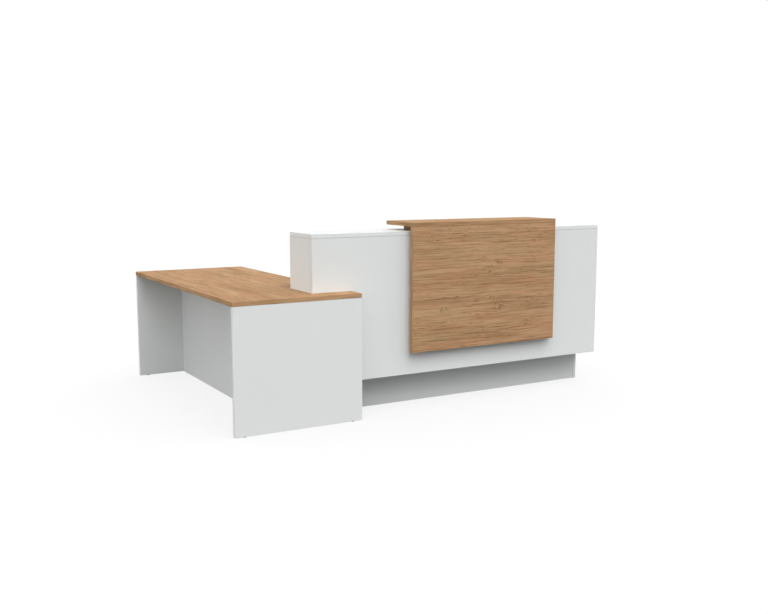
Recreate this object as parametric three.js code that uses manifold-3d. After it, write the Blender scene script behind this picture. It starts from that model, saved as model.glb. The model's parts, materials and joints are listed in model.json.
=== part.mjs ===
// A reception desk in white and oak-faced board. A low return stands on the visitor's left, a tall
// counter runs along the front, and a staff worktop lies behind the counter. An oak panel and shelf
// stand off the counter's front and top.
//
// Millimetres, +Z up. X runs to the visitor's right and Y away from the visitor. Pieces are placed
// from the return's front left corner on the floor, and the finished desk is centred on the floor.

import * as THREE from "three";
import { mergeVertices } from "three/addons/utils/BufferGeometryUtils.js";
import Module from "manifold-3d";

const wasm = await Module();
wasm.setup();

// Boards and the joints between them
const BOARD = 25; // tops, panels and gables
const THIN_BOARD = 18; // dividers, plinth and base boards
const JOINT = 0.3; // line left between pieces that are screwed or glued together

// Return
const RETURN_WIDTH = 790;
const RETURN_DEPTH = 1900;
const DESK_HEIGHT = 750;
const KNEE_RECESS = 320; // from the return's left edge to its modesty panel

// Counter
const COUNTER_LENGTH = 2160;
const COUNTER_DEPTH = 300;
const COUNTER_HEIGHT = 1090;
const COUNTER_OVERLAP = 260; // how far it reaches over the return
const COUNTER_SETBACK = 120; // from the return's front face to the counter's
const DIVIDER_COUNT = 2;
const DIVIDER_SETBACK = 4; // dividers stop short of the counter's back by this

// Staff worktop and the base under it
const WORKTOP_DEPTH = 725;
const PLINTH_HEIGHT = 212;
const PLINTH_RECESS = 155; // from the counter's front face to the plinth
const LEFT_GABLE_INSET = 40; // from the worktop's left end
const LEFT_GABLE_DEPTH = 400; // short, so that knees can pass to the return

// Oak accent on the counter
const ACCENT_OFFSET = 644; // from the counter's left end
const ACCENT_WIDTH = 1100;
const ACCENT_BOTTOM = 352; // height of its lower edge above the floor
const ACCENT_GAP = 25; // between the accent panel and the counter's front
const ACCENT_SHELF_DEPTH = 312;
const RISER_HEIGHT = 29; // between the counter's top and the accent shelf
const RISER_WIDTH = 40;
const RISER_LENGTH = 220;
const RISER_INSET = 111; // from the accent shelf's ends
const RISER_BACK_INSET = 25; // from the accent shelf's back edge
const RISER_COUNT = 3;
const STANDOFF_RADIUS = 15;
const STANDOFF_INSET = 150; // from the accent panel's edges
const STANDOFF_COLUMNS = 3;
const STANDOFF_ROWS = 2;

// Levelling feet
const FOOT_PAD_RADIUS = 11;
const FOOT_PAD_HEIGHT = 3;
const FOOT_STEM_RADIUS = 4;
const FOOT_STEM_LENGTH = 26;
const FOOT_STEM_CLEARANCE = 0.3;
const FOOT_END_CLEARANCE = 1;
const FOOT_INSET = 60; // from the ends of the panel that stands on it

// Cable ports in the worktop
const PORT_OFFSET = 65; // from the counter's back to a port's centre
const PORT_CAP_RADIUS = 27;
const PORT_CAP_HEIGHT = 3.5;
const PORT_CAP_CLEARANCE = 0.4;
const PORT_LEDGE = 3; // ring under the cap's rim
const PORT_WALL = 2.6;
const PORT_FLANGE_WIDTH = 6;
const PORT_FLANGE_HEIGHT = 2;
const PORT_TAIL = 6; // how far the liner reaches below the worktop
const PORT_HOLE_CLEARANCE = 0.4;
const PORT_SLOT_WIDTH = 14;
const PORT_SLOT_LENGTH = 17;

// Steel brackets and jointing plates
const BRACKET_LEG = 36;
const BRACKET_WIDTH = 40;
const STEEL = 2.5; // thickness of brackets and plates
const SCREW_HOLE_RADIUS = 2.5;
const SCREW_PITCH = 20; // between the two screws of a bracket's leg
const BRACKET_INSET = 90; // from the ends of the panel that it holds
const PLATE_LENGTH = 100;
const PLATE_WIDTH = 40;
const PLATE_COUNT = 2;

// Smoothness of round shapes
const FINE_SIDES = 32;
const COARSE_SIDES = 12;

// Places that several pieces share
const counterLeft = RETURN_WIDTH - COUNTER_OVERLAP;
const counterRight = counterLeft + COUNTER_LENGTH;
const counterBack = COUNTER_SETBACK + COUNTER_DEPTH;
const behindFront = COUNTER_SETBACK + BOARD + JOINT;
const underDesk = DESK_HEIGHT - BOARD - JOINT;
const onDesk = DESK_HEIGHT + JOINT;
const underCounter = COUNTER_HEIGHT - BOARD - JOINT;
const aboveFloor = FOOT_PAD_HEIGHT + JOINT;
const worktopLeft = RETURN_WIDTH + JOINT;
const worktopRight = counterRight - BOARD - JOINT;
const worktopBack = behindFront + WORKTOP_DEPTH;
const plinthFront = COUNTER_SETBACK + PLINTH_RECESS;
const plinthBack = plinthFront + THIN_BOARD;
const leftGable = worktopLeft + LEFT_GABLE_INSET;
const rightGable = worktopRight - BOARD;
const midGable = (leftGable + rightGable) / 2;
const leftGableBack = behindFront + LEFT_GABLE_DEPTH;
const accentLeft = counterLeft + ACCENT_OFFSET;
const accentRight = accentLeft + ACCENT_WIDTH;
const accentBack = COUNTER_SETBACK - ACCENT_GAP;
const accentFront = accentBack - BOARD;
const accentShelf = COUNTER_HEIGHT + RISER_HEIGHT;
const accentShelfBack = accentFront + ACCENT_SHELF_DEPTH;

// Finishes
const white = new THREE.MeshStandardMaterial({ color: 0xe4e6e5, roughness: 0.5, metalness: 0 });
const oak = new THREE.MeshStandardMaterial({ color: 0xb98f68, roughness: 0.55, metalness: 0 });
const plastic = new THREE.MeshStandardMaterial({ color: 0x1b1b1c, roughness: 0.6, metalness: 0 });
const zinc = new THREE.MeshStandardMaterial({ color: 0xb4b7ba, roughness: 0.4, metalness: 1 });
const aluminium = new THREE.MeshStandardMaterial({ color: 0xc4c6c8, roughness: 0.35, metalness: 1 });

// A closed geometry as a solid that can be joined and cut.
function solidOf(geometry) {
  const bare = geometry.clone();
  bare.deleteAttribute("normal");
  bare.deleteAttribute("uv");
  const merged = mergeVertices(bare);
  return new wasm.Manifold(
    new wasm.Mesh({
      numProp: 3,
      vertProperties: merged.attributes.position.array,
      triVerts: new Uint32Array(merged.index.array),
    }),
  );
}

function geometryOf(solid) {
  const { vertProperties, triVerts } = solid.getMesh();
  const shared = new THREE.BufferGeometry();
  shared.setAttribute("position", new THREE.BufferAttribute(vertProperties, 3));
  shared.setIndex(new THREE.BufferAttribute(triVerts, 1));
  const faceted = shared.toNonIndexed();
  faceted.computeVertexNormals();
  return faceted;
}

// Cuts tools, given in the desk's frame, out of a placed mesh.
function cutAway(mesh, tools) {
  mesh.updateMatrix();
  const deskToMesh = mesh.matrix.clone().invert();
  let solid = solidOf(mesh.geometry);
  for (const tool of tools) {
    solid = solid.subtract(solidOf(tool.clone().applyMatrix4(deskToMesh)));
  }
  mesh.geometry = geometryOf(solid);
}

function piece(group, name, geometry, material) {
  const mesh = new THREE.Mesh(geometry, material);
  mesh.name = name;
  group.add(mesh);
  return mesh;
}

// A rectangular board between two places along each axis.
function board(group, name, material, [x0, x1], [y0, y1], [z0, z1]) {
  const mesh = piece(group, name, new THREE.BoxGeometry(x1 - x0, y1 - y0, z1 - z0), material);
  mesh.position.set((x0 + x1) / 2, (y0 + y1) / 2, (z0 + z1) / 2);
  return mesh;
}

function prism(outline, thickness) {
  const shape = new THREE.Shape(outline.map(([u, v]) => new THREE.Vector2(u, v)));
  return new THREE.ExtrudeGeometry(shape, { depth: thickness, bevelEnabled: false });
}

// An upright cylinder around the point (x, y) between two heights.
function column(radius, sides, x, y, z0, z1) {
  const geometry = new THREE.CylinderGeometry(radius, radius, z1 - z0, sides);
  return geometry.rotateX(Math.PI / 2).translate(x, y, (z0 + z1) / 2);
}

// Evenly spaced places from first to last.
function spread(first, last, count) {
  return Array.from({ length: count }, (_, i) => first + ((last - first) * i) / (count - 1));
}

// Evenly spaced places that leave the same room at both ends.
function between(first, last, count) {
  const step = (last - first) / (count + 1);
  return Array.from({ length: count }, (_, i) => first + step * (i + 1));
}

const feet = new THREE.Group();
const hardware = new THREE.Group();

// One levelling foot: a pad on the floor and a stem up into its panel.
function footGeometry() {
  const profile = [
    [0, 0],
    [FOOT_PAD_RADIUS, 0],
    [FOOT_PAD_RADIUS, FOOT_PAD_HEIGHT],
    [FOOT_STEM_RADIUS, FOOT_PAD_HEIGHT],
    [FOOT_STEM_RADIUS, FOOT_PAD_HEIGHT + FOOT_STEM_LENGTH],
    [0, FOOT_PAD_HEIGHT + FOOT_STEM_LENGTH],
  ];
  const points = profile.map(([r, h]) => new THREE.Vector2(r, h));
  return new THREE.LatheGeometry(points, COARSE_SIDES).rotateX(Math.PI / 2);
}

// Stands a panel on levelling feet, each in its own bore in the panel's lower edge.
function standOnFeet(panel, places) {
  const boreTop = FOOT_PAD_HEIGHT + FOOT_STEM_LENGTH + FOOT_END_CLEARANCE;
  const boreRadius = FOOT_STEM_RADIUS + FOOT_STEM_CLEARANCE;
  const centres = Object.values(places);
  cutAway(
    panel,
    centres.map(([x, y]) => column(boreRadius, COARSE_SIDES, x, y, 0, boreTop)),
  );
  for (const [name, [x, y]] of Object.entries(places)) {
    piece(feet, name, footGeometry(), plastic).position.set(x, y, 0);
  }
}

// A steel angle in the corner under a top, turned about Z to face away from its panel.
function bracket(name, x, y, turn) {
  const outline = [
    [0, 0],
    [0, -BRACKET_LEG],
    [STEEL, -BRACKET_LEG],
    [STEEL, -STEEL],
    [BRACKET_LEG, -STEEL],
    [BRACKET_LEG, 0],
  ];
  const angle = prism(outline, BRACKET_WIDTH).rotateX(Math.PI / 2).translate(0, BRACKET_WIDTH / 2, 0);
  const mesh = piece(hardware, name, angle, zinc);
  const holes = [];
  const legMiddle = (BRACKET_LEG + STEEL) / 2;
  for (const side of [-SCREW_PITCH / 2, SCREW_PITCH / 2]) {
    const hole = column(SCREW_HOLE_RADIUS, COARSE_SIDES, 0, 0, -2 * STEEL, 2 * STEEL);
    holes.push(hole.clone().translate(legMiddle, side, 0));
    holes.push(hole.clone().rotateY(Math.PI / 2).translate(0, side, -legMiddle));
  }
  cutAway(mesh, holes);
  mesh.rotation.z = turn;
  mesh.position.set(x + JOINT * Math.cos(turn), y + JOINT * Math.sin(turn), underDesk);
}

// The low return: an oak top on two white end panels and a modesty panel that reaches the floor.
function makeReturn() {
  const group = new THREE.Group();
  const height = [aboveFloor, underDesk];
  const width = [0, RETURN_WIDTH];
  const backInner = RETURN_DEPTH - BOARD;
  const modestyRight = KNEE_RECESS + BOARD;
  const modestyMiddle = KNEE_RECESS + BOARD / 2;
  board(group, "return_top", oak, width, [0, RETURN_DEPTH], [DESK_HEIGHT - BOARD, DESK_HEIGHT]);
  const front = board(group, "return_front_end_panel", white, width, [0, BOARD], height);
  const back = board(group, "return_back_end_panel", white, width, [backInner, RETURN_DEPTH], height);
  const modestyRun = [BOARD + JOINT, backInner - JOINT];
  const modesty = board(
    group,
    "return_modesty_panel",
    white,
    [KNEE_RECESS, modestyRight],
    modestyRun,
    height,
  );
  const fillerRun = [BOARD + JOINT, behindFront - JOINT];
  board(group, "return_filler_panel", white, [RETURN_WIDTH - BOARD, RETURN_WIDTH], fillerRun, height);

  standOnFeet(front, {
    foot_return_front_left: [FOOT_INSET, BOARD / 2],
    foot_return_front_right: [RETURN_WIDTH - FOOT_INSET, BOARD / 2],
  });
  standOnFeet(back, {
    foot_return_back_left: [FOOT_INSET, RETURN_DEPTH - BOARD / 2],
    foot_return_back_right: [RETURN_WIDTH - FOOT_INSET, RETURN_DEPTH - BOARD / 2],
  });
  standOnFeet(modesty, {
    foot_modesty_front: [modestyMiddle, modestyRun[0] + FOOT_INSET],
    foot_modesty_back: [modestyMiddle, modestyRun[1] - FOOT_INSET],
  });

  const onEndPanel = (modestyRight + RETURN_WIDTH) / 2;
  bracket("bracket_return_front", onEndPanel, BOARD, Math.PI / 2);
  bracket("bracket_return_back", onEndPanel, backInner, -Math.PI / 2);
  const modestyThird = (modestyRun[1] - modestyRun[0]) / 3;
  bracket("bracket_modesty_front", modestyRight, modestyRun[0] + modestyThird, 0);
  bracket("bracket_modesty_back", modestyRight, modestyRun[1] - modestyThird, 0);
  return group;
}

// The tall counter: a front notched over the return, two ends, dividers and a white top.
function makeCounter() {
  const group = new THREE.Group();
  const frontOutline = [
    [counterLeft, onDesk],
    [worktopLeft, onDesk],
    [worktopLeft, PLINTH_HEIGHT],
    [counterRight, PLINTH_HEIGHT],
    [counterRight, underCounter],
    [counterLeft, underCounter],
  ];
  const front = piece(group, "counter_front_panel", prism(frontOutline, BOARD), white);
  front.rotation.x = Math.PI / 2;
  front.position.y = COUNTER_SETBACK + BOARD;

  const depth = [behindFront, counterBack];
  const leftEnd = [counterLeft, counterLeft + BOARD];
  const rightEnd = [counterRight - BOARD, counterRight];
  board(group, "counter_left_end_panel", white, leftEnd, depth, [onDesk, underCounter]);
  board(group, "counter_right_end_panel", white, rightEnd, depth, [PLINTH_HEIGHT, underCounter]);
  board(
    group,
    "counter_top",
    white,
    [counterLeft, counterRight],
    [COUNTER_SETBACK, counterBack],
    [COUNTER_HEIGHT - BOARD, COUNTER_HEIGHT],
  );
  between(leftEnd[1], rightEnd[0], DIVIDER_COUNT).forEach((x, i) => {
    const across = [x - THIN_BOARD / 2, x + THIN_BOARD / 2];
    const along = [behindFront, counterBack - DIVIDER_SETBACK];
    board(group, `counter_divider_${i + 1}`, white, across, along, [onDesk, underCounter]);
  });
  return group;
}

// A gable under the worktop, cut back at its front foot for the toe space.
function gable(group, name, x, footFront, back) {
  const outline = [
    [footFront, aboveFloor],
    [back, aboveFloor],
    [back, underDesk],
    [behindFront, underDesk],
    [behindFront, PLINTH_HEIGHT],
    [footFront, PLINTH_HEIGHT],
  ];
  const mesh = piece(group, name, prism(outline, BOARD), white);
  mesh.rotation.set(Math.PI / 2, Math.PI / 2, 0);
  mesh.position.x = x;
  const middle = x + BOARD / 2;
  standOnFeet(mesh, {
    [`foot_${name}_front`]: [middle, footFront + FOOT_INSET],
    [`foot_${name}_back`]: [middle, back - FOOT_INSET],
  });
}

// The staff side: an oak worktop on three gables, with a recessed plinth and base boards.
function makeStaffBase() {
  const group = new THREE.Group();
  const behindPlinth = plinthBack + JOINT;
  gable(group, "left_gable", leftGable, behindPlinth, leftGableBack);
  gable(group, "mid_gable", midGable, behindPlinth, worktopBack);
  gable(group, "right_gable", rightGable, plinthFront, worktopBack);
  const plinthRun = [leftGable, rightGable - JOINT];
  const plinthHeight = [aboveFloor, PLINTH_HEIGHT - JOINT];
  board(group, "plinth_board", white, plinthRun, [plinthFront, plinthBack], plinthHeight);
  const baseDepth = [behindFront, plinthBack];
  const baseHeight = [PLINTH_HEIGHT, PLINTH_HEIGHT + THIN_BOARD];
  const leftBay = [leftGable + BOARD + JOINT, midGable - JOINT];
  const rightBay = [midGable + BOARD + JOINT, rightGable - JOINT];
  board(group, "base_board_left", white, leftBay, baseDepth, baseHeight);
  board(group, "base_board_right", white, rightBay, baseDepth, baseHeight);

  const worktop = board(
    group,
    "staff_worktop",
    oak,
    [worktopLeft, worktopRight],
    [behindFront, worktopBack],
    [DESK_HEIGHT - BOARD, DESK_HEIGHT],
  );
  const portPlaces = {
    left: [(leftBay[0] + leftBay[1]) / 2, counterBack + PORT_OFFSET],
    right: [(rightBay[0] + rightBay[1]) / 2, counterBack + PORT_OFFSET],
  };
  makePorts(worktop, portPlaces);

  for (const [side, x, back] of [
    ["left", leftGable, leftGableBack],
    ["mid", midGable, worktopBack],
  ]) {
    bracket(`bracket_${side}_gable_front`, x + BOARD, behindFront + BRACKET_INSET, 0);
    bracket(`bracket_${side}_gable_back`, x + BOARD, back - BRACKET_INSET, 0);
  }
  bracket("bracket_right_gable_front", rightGable, behindFront + BRACKET_INSET, Math.PI);
  bracket("bracket_right_gable_back", rightGable, worktopBack - BRACKET_INSET, Math.PI);

  const seam = (RETURN_WIDTH + worktopLeft) / 2;
  between(leftGableBack, worktopBack, PLATE_COUNT).forEach((y, i) => {
    const along = [seam - PLATE_LENGTH / 2, seam + PLATE_LENGTH / 2];
    const across = [y - PLATE_WIDTH / 2, y + PLATE_WIDTH / 2];
    board(hardware, `jointing_plate_${i + 1}`, zinc, along, across, [underDesk - STEEL, underDesk]);
  });
  return group;
}

// A liner ring set in the worktop, whose flange covers the edge of the hole.
function portLinerGeometry(barrelRadius) {
  const flangeTop = JOINT + PORT_FLANGE_HEIGHT;
  const seatRadius = PORT_CAP_RADIUS + PORT_CAP_CLEARANCE;
  const seat = flangeTop - PORT_CAP_HEIGHT - JOINT;
  const passageRadius = PORT_CAP_RADIUS - PORT_LEDGE;
  const tail = -BOARD - PORT_TAIL;
  const profile = [
    [barrelRadius, tail],
    [barrelRadius, JOINT],
    [barrelRadius + PORT_FLANGE_WIDTH, JOINT],
    [barrelRadius + PORT_FLANGE_WIDTH, flangeTop],
    [seatRadius, flangeTop],
    [seatRadius, seat],
    [passageRadius, seat],
    [passageRadius, tail],
    [barrelRadius, tail],
  ];
  const points = profile.map(([r, h]) => new THREE.Vector2(r, h));
  return new THREE.LatheGeometry(points, FINE_SIDES).rotateX(Math.PI / 2);
}

// A turning cap with a slot for cables in its rim.
function portCapGeometry() {
  const half = PORT_SLOT_WIDTH / 2;
  const mouth = Math.asin(half / PORT_CAP_RADIUS);
  const slotEnd = PORT_CAP_RADIUS - PORT_SLOT_LENGTH + half;
  const shape = new THREE.Shape();
  shape.absarc(0, 0, PORT_CAP_RADIUS, Math.PI / 2 + mouth, Math.PI * 2.5 - mouth, false);
  shape.absarc(0, slotEnd, half, 0, -Math.PI, true);
  shape.closePath();
  const options = { depth: PORT_CAP_HEIGHT, bevelEnabled: false, curveSegments: FINE_SIDES };
  return new THREE.ExtrudeGeometry(shape, options);
}

// Cable ports: each is a hole in the worktop, a liner and a turning cap.
function makePorts(worktop, places) {
  const barrelRadius = PORT_CAP_RADIUS + PORT_CAP_CLEARANCE + PORT_WALL;
  const holeRadius = barrelRadius + PORT_HOLE_CLEARANCE;
  const holeBottom = DESK_HEIGHT - 2 * BOARD;
  const holeTop = DESK_HEIGHT + BOARD;
  const holes = [];
  const capHeight = DESK_HEIGHT + JOINT + PORT_FLANGE_HEIGHT - PORT_CAP_HEIGHT;
  for (const [side, [x, y]] of Object.entries(places)) {
    holes.push(column(holeRadius, FINE_SIDES, x, y, holeBottom, holeTop));
    piece(hardware, `port_liner_${side}`, portLinerGeometry(barrelRadius), plastic).position.set(
      x,
      y,
      DESK_HEIGHT,
    );
    piece(hardware, `port_cap_${side}`, portCapGeometry(), plastic).position.set(x, y, capHeight);
  }
  cutAway(worktop, holes);
}

// The oak accent: a panel held off the counter's front, and a shelf raised over its top.
function makeAccent() {
  const group = new THREE.Group();
  const width = [accentLeft, accentRight];
  const panelTop = accentShelf - JOINT;
  board(group, "accent_front_panel", oak, width, [accentFront, accentBack], [ACCENT_BOTTOM, panelTop]);
  board(
    group,
    "accent_shelf",
    oak,
    width,
    [accentFront, accentShelfBack],
    [accentShelf, accentShelf + BOARD],
  );

  const riserBack = accentShelfBack - RISER_BACK_INSET;
  const firstRiser = accentLeft + RISER_INSET + RISER_WIDTH / 2;
  const lastRiser = accentRight - RISER_INSET - RISER_WIDTH / 2;
  spread(firstRiser, lastRiser, RISER_COUNT).forEach((x, i) => {
    board(
      group,
      `accent_riser_${i + 1}`,
      oak,
      [x - RISER_WIDTH / 2, x + RISER_WIDTH / 2],
      [riserBack - RISER_LENGTH, riserBack],
      [COUNTER_HEIGHT + JOINT, accentShelf - JOINT],
    );
  });

  const columns = spread(accentLeft + STANDOFF_INSET, accentRight - STANDOFF_INSET, STANDOFF_COLUMNS);
  const rows = spread(ACCENT_BOTTOM + STANDOFF_INSET, panelTop - STANDOFF_INSET, STANDOFF_ROWS);
  const length = ACCENT_GAP - 2 * JOINT;
  const standoff = new THREE.CylinderGeometry(STANDOFF_RADIUS, STANDOFF_RADIUS, length, FINE_SIDES);
  rows.forEach((z, row) => {
    columns.forEach((x, place) => {
      const name = `standoff_${row === 0 ? "lower" : "upper"}_${place + 1}`;
      piece(group, name, standoff, aluminium).position.set(x, accentBack + ACCENT_GAP / 2, z);
    });
  });
  return group;
}

const desk = new THREE.Group();
desk.add(makeReturn(), makeCounter(), makeStaffBase(), makeAccent(), feet, hardware);
desk.position.set(-counterRight / 2, -RETURN_DEPTH / 2, 0);

export default desk;
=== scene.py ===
"""A reception desk in white and oak-faced board, finished piece by piece over its packed solids.

A low return with an oak top stands on the visitor's left. A tall white counter runs along the front,
with an oak panel and shelf held off it, and an oak worktop lies behind for the staff.
Metres, +Z up. X runs to the visitor's right and Y away from the visitor.
"""

import json
import math
from functools import partial

import bmesh
import bpy
from bpy.props import FloatProperty, FloatVectorProperty, IntProperty, PointerProperty
from mathutils import Matrix, Vector


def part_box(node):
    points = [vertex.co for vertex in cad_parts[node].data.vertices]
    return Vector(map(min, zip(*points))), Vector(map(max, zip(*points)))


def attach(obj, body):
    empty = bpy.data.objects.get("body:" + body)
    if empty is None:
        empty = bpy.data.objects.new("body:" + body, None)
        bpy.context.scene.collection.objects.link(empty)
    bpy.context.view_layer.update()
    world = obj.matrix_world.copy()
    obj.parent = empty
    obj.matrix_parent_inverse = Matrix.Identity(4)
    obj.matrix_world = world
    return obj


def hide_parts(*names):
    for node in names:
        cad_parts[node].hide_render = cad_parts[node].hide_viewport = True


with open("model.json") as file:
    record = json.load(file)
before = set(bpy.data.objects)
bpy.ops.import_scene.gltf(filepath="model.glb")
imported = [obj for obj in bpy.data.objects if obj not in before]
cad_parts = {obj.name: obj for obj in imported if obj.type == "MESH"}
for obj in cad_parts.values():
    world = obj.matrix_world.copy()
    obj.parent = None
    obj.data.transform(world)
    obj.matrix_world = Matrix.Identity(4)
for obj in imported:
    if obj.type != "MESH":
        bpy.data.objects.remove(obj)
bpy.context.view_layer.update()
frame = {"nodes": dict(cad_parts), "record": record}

bl_info = {
    "name": "Reception Desk",
    "version": (1, 0, 0),
    "blender": (4, 5, 0),
    "location": "View3D > Sidebar > Desk",
    "description": "Finishes a reception desk board by board, with its fittings and a plain studio",
    "category": "Object",
}

MM = 0.001
AXES = "XYZ"
UP = Vector((0, 0, 1))
GRAIN_MAP = "grain"
RIM = "rim"
FACING = "facing"

# Pieces

ENDS = ("front", "back")
SIDES = ("left", "right")
GABLES = ("left_gable", "mid_gable", "right_gable")
RETURN_PANELS = tuple(f"return_{place}_panel" for place in ("front_end", "back_end", "modesty", "filler"))
COUNTER_BOARDS = tuple(
    f"counter_{name}"
    for name in ("front_panel", "left_end_panel", "right_end_panel", "top", "divider_1", "divider_2")
)
BASE_BOARDS = (*GABLES, "plinth_board", "base_board_left", "base_board_right")
PORTED_BOARD = "staff_worktop"
# Oak boards: the axis that the grain runs along, and where the board's own stretch of the print starts
OAK_GRAIN = {
    "return_top": ("Y", 12.9),
    "accent_front_panel": ("X", 3.0),
    "accent_shelf": ("X", 18.9),
    PORTED_BOARD: ("X", 21.9),
    "accent_riser_1": ("Y", 24.9),
    "accent_riser_2": ("Y", 27.9),
    "accent_riser_3": ("Y", 30.9),
}
BOARD_BOXES = {
    node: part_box(node) for group in (OAK_GRAIN, RETURN_PANELS, COUNTER_BOARDS, BASE_BOARDS) for node in group
}
FEET_OF = {f"return_{end}_end_panel": [f"foot_return_{end}_{side}" for side in SIDES] for end in ENDS}
FEET_OF["return_modesty_panel"] = [f"foot_modesty_{end}" for end in ENDS]
FEET_OF.update({gable: [f"foot_{gable}_{end}" for end in ENDS] for gable in GABLES})
# The way that each steel angle faces, away from the panel that it is screwed to
BRACKET_FACING = {"bracket_return_front": (0, 1, 0), "bracket_return_back": (0, -1, 0)}
for panel, way in (("modesty", 1), ("left_gable", 1), ("mid_gable", 1), ("right_gable", -1)):
    BRACKET_FACING.update({f"bracket_{panel}_{end}": (way, 0, 0) for end in ENDS})
PLATES = ("jointing_plate_1", "jointing_plate_2")
STANDOFFS = tuple(f"standoff_{row}_{place}" for row in ("lower", "upper") for place in (1, 2, 3))
# Cover caps: the board, the way its capped face looks, the edge that they follow, and how many
CAP_ROWS = (
    ("counter_left_end_panel", "+X", "+Z", 2),
    ("counter_left_end_panel", "+X", "-Y", 2),
    ("counter_right_end_panel", "-X", "+Z", 2),
    ("counter_divider_1", "-X", "+Z", 2),
    ("counter_divider_1", "-X", "-Z", 2),
    ("counter_divider_2", "+X", "+Z", 2),
    ("counter_divider_2", "+X", "-Z", 2),
    ("return_modesty_panel", "+X", "-Y", 3),
    ("return_modesty_panel", "+X", "+Y", 3),
    ("left_gable", "+X", "+Z", 2),
    ("mid_gable", "-X", "+Z", 2),
    ("right_gable", "-X", "+Z", 2),
)

# Settings

LengthProperty = partial(FloatProperty, unit="LENGTH")
ColourProperty = partial(FloatVectorProperty, size=3, subtype="COLOR")


class BoardSettings(bpy.types.PropertyGroup):
    """How the boards are edged, bored and capped."""

    arris: LengthProperty(
        name="Arris", description="Radius of a board's softened edges", default=1.2 * MM, min=0.2 * MM
    )
    arris_steps: IntProperty(name="Arris steps", description="Flats round one arris", default=3, min=1)
    rim: LengthProperty(
        name="Rim", description="Width of the strip along the edges that handling marks", default=15 * MM
    )
    bore_clearance: LengthProperty(
        name="Bore clearance", description="Room round a foot's stem or a port's liner", default=0.3 * MM
    )
    cap_radius: LengthProperty(
        name="Cover cap radius", description="Radius of the caps over the board fittings", default=8.5 * MM
    )
    cap_height: LengthProperty(
        name="Cover cap height", description="How far a cap stands proud of its board", default=1.1 * MM
    )
    cap_inset: LengthProperty(
        name="Cover cap inset", description="From the edge that a row of caps follows", default=34 * MM
    )
    cap_end: LengthProperty(
        name="Cover cap end distance", description="From an edge's ends to its row of caps", default=62 * MM
    )


class FinishSettings(bpy.types.PropertyGroup):
    """The colours of the desk's finishes."""

    white: ColourProperty(
        name="White board", description="Colour of the white boards", default=(0.795, 0.815, 0.808)
    )
    oak_light: ColourProperty(
        name="Oak, light", description="Colour of the oak's late wood", default=(0.555, 0.345, 0.195)
    )
    oak_dark: ColourProperty(
        name="Oak, dark", description="Colour of the oak's early wood", default=(0.335, 0.185, 0.093)
    )
    zinc: ColourProperty(name="Zinc", description="Colour of the plated steel", default=(0.56, 0.58, 0.60))
    aluminium: ColourProperty(
        name="Aluminium", description="Colour of the turned stand-offs", default=(0.66, 0.67, 0.68)
    )
    black: ColourProperty(
        name="Black plastic", description="Colour of the feet and ports", default=(0.018, 0.018, 0.019)
    )


class FittingSettings(bpy.types.PropertyGroup):
    """The sizes of the fittings that their solids leave plain."""

    steel: LengthProperty(name="Steel", description="Thickness of the angles", default=2.5 * MM)
    bend: LengthProperty(name="Bend", description="Outer radius of an angle's bend", default=3.6 * MM)
    corner: LengthProperty(name="Corner", description="Radius of the steel's corners", default=6 * MM)
    screw_head: LengthProperty(name="Screw head", description="Radius of a screw's head", default=4.3 * MM)
    screw_pitch: LengthProperty(
        name="Screw pitch", description="Between the two screws across an angle or plate", default=20 * MM
    )
    plate_screw_inset: LengthProperty(
        name="Plate screw inset", description="From a plate's ends to its screws", default=16 * MM
    )
    thread_pitch: LengthProperty(
        name="Thread pitch", description="Pitch of a levelling foot's thread", default=1.25 * MM
    )
    thread_depth: LengthProperty(name="Thread depth", description="Depth of that thread", default=0.6 * MM)
    pad_height: LengthProperty(name="Pad height", description="Height of a foot's pad", default=3 * MM)
    stem_radius: LengthProperty(name="Stem radius", description="Radius of a foot's stem", default=4 * MM)


class StageSettings(bpy.types.PropertyGroup):
    """The camera, the floor and the plain light."""

    camera_place: FloatVectorProperty(
        name="Camera place", description="Where the camera stands",
        default=(-3.0939, -5.6081, 1.4083), size=3, subtype="TRANSLATION", unit="LENGTH",
    )
    camera_turn: FloatVectorProperty(
        name="Camera turn", description="How the camera is turned about X, Y and Z",
        default=(math.radians(82.082), 0.0, math.radians(-29.961)), size=3, subtype="EULER",
    )
    lens: FloatProperty(
        name="Lens", description="Focal length on the sensor's width, in mm", default=43.546, unit="CAMERA"
    )
    front: FloatProperty(name="Front", description="Light from high up in front", default=14.5)
    left: FloatProperty(name="Left", description="Light from low on the left", default=2.5)
    right: FloatProperty(name="Right", description="Light from low on the far right", default=3.4)
    back: FloatProperty(name="Back", description="Light from low behind, on the right", default=4.4)
    floor_size: LengthProperty(name="Floor size", description="Length of the floor's sides", default=80.0)
    floor_glow: FloatProperty(
        name="Floor glow", description="White that the camera sees of the open floor", default=0.96
    )
    floor_share: FloatProperty(
        name="Floor share", description="Share of the light on the floor that the camera sees", default=0.05
    )
    # The floor's shade near the desk is painted into its glow
    floor_shade: FloatProperty(
        name="Floor shade", description="Share of the glow that the desk can keep off the floor", default=0.14
    )
    shade_reach: LengthProperty(
        name="Shade reach", description="How far from the desk the floor's shade reaches", default=1.8
    )
    floor_bounce: FloatProperty(
        name="Floor bounce", description="Share of the light that the floor throws back", default=0.12
    )


# Node trees


def blank_tree(block):
    """The node tree of a new material or world, with nothing in it."""
    block.use_nodes = True
    block.node_tree.nodes.clear()
    return block.node_tree


def tree_of(*values):
    """The tree that the outputs among some values belong to."""
    return next(value.id_data for value in values if isinstance(value, bpy.types.NodeSocket))


def add(tree, kind, values=None, **settings):
    """A new node. Its inputs take plain values or other nodes' outputs."""
    node = tree.nodes.new(kind)
    for key, value in settings.items():
        setattr(node, key, value)
    for key, value in (values or {}).items():
        if isinstance(value, bpy.types.NodeSocket):
            tree.links.new(value, node.inputs[key])
        else:
            node.inputs[key].default_value = value
    return node


def calc(operation, first, second=0.0, third=0.0):
    """The output of one Math node."""
    values = {0: first, 1: second, 2: third}
    return add(tree_of(first, second, third), "ShaderNodeMath", values, operation=operation).outputs[0]


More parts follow.
